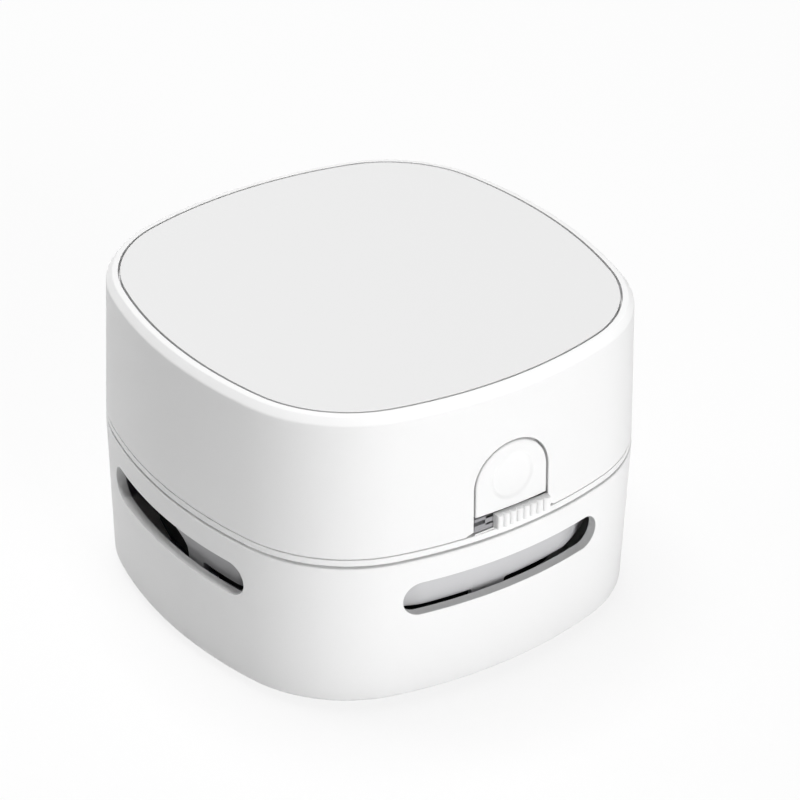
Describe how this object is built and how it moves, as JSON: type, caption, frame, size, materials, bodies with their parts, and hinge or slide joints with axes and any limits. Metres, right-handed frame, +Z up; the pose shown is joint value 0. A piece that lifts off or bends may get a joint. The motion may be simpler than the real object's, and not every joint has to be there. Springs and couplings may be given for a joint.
{
  "type": "desktop mini vacuum cleaner",
  "caption": "Square, round-cornered desk vacuum: dust box with side exhaust slots, bristle-ringed intake, filter, fan and motor in a lift-off upper unit with a release key and slide knob.",
  "frame": {"origin": "on the fan's axis, level with the bristle tips that the cleaner stands on", "axes": "+Z up; -Y is the side with the push key and the slide knob; +Y is the side with the charging socket"},
  "size_m": [0.0842, 0.085, 0.0575],
  "materials": {
    "white_plastic": "fine satin moulded finish",
    "panel_plastic": "matte, slightly greyer than the case",
    "grey_plastic": "light grey moulded",
    "guide_plastic": "grey moulded",
    "black_plastic": "black moulded",
    "seal_rubber": "soft seal",
    "bristle_nylon": "nylon filaments",
    "filter_paper": "pleated filter paper",
    "steel": "bright steel",
    "cell_wrap": "plastic film over the cell's can",
    "board": "glass-epoxy board"
  },
  "bodies": {
    "dust_box": {"lower_shell": "white_plastic", "intake_funnel": "black_plastic", "cup_gasket": "seal_rubber", "brush_strip_1": "bristle_nylon", "brush_strip_2": "bristle_nylon", "brush_strip_3": "bristle_nylon", "brush_strip_4": "bristle_nylon"},
    "filter": {"filter_frame": "black_plastic", "filter_element": "filter_paper"},
    "upper_unit": {"inlet_plate": "black_plastic", "fan_housing": "grey_plastic", "chassis_plate": "white_plastic", "upper_shell": "white_plastic", "top_panel": "panel_plastic", "case_screw_1": "steel", "case_screw_2": "steel", "case_screw_3": "steel", "case_screw_4": "steel", "motor_can": "steel", "motor_cap": "black_plastic", "motor_sleeve": "seal_rubber", "battery_cell": "cell_wrap", "battery_cradle": "black_plastic", "circuit_board": "board", "charge_socket": "steel", "switch_guide": "guide_plastic", "switch_body": "black_plastic", "key_spring": "steel"},
    "release_key": {"push_key": "white_plastic", "latch_yoke": "black_plastic"},
    "knob": {"slide_knob": "white_plastic"},
    "rotor": {"impeller": "black_plastic", "impeller_nut": "steel", "motor_shaft": "steel"}
  },
  "joints": [
    {"name": "filter_lift", "type": "slide", "parent": "dust_box", "child": "filter", "axis": [0, 0, 1], "range_m": [0, 0.03]},
    {"name": "upper_unit_lift", "type": "slide", "parent": "filter", "child": "upper_unit", "axis": [0, 0, 1], "range_m": [0, 0.03]},
    {"name": "key_press", "type": "slide", "parent": "upper_unit", "child": "release_key", "axis": [0, 1, 0], "range_m": [0, 0.0018], "stiffness_N_per_m": 400, "springref_m": -0.0012, "deforming": ["key_spring"]},
    {"name": "knob_slide", "type": "slide", "parent": "upper_unit", "child": "knob", "axis": [1, 0, 0], "range_m": [-0.0038, 0]},
    {"name": "fan_spin", "type": "hinge", "parent": "upper_unit", "child": "rotor", "pos_m": [0, 0, 0.025], "axis": [0, 0, 1], "continuous": true}
  ]
}
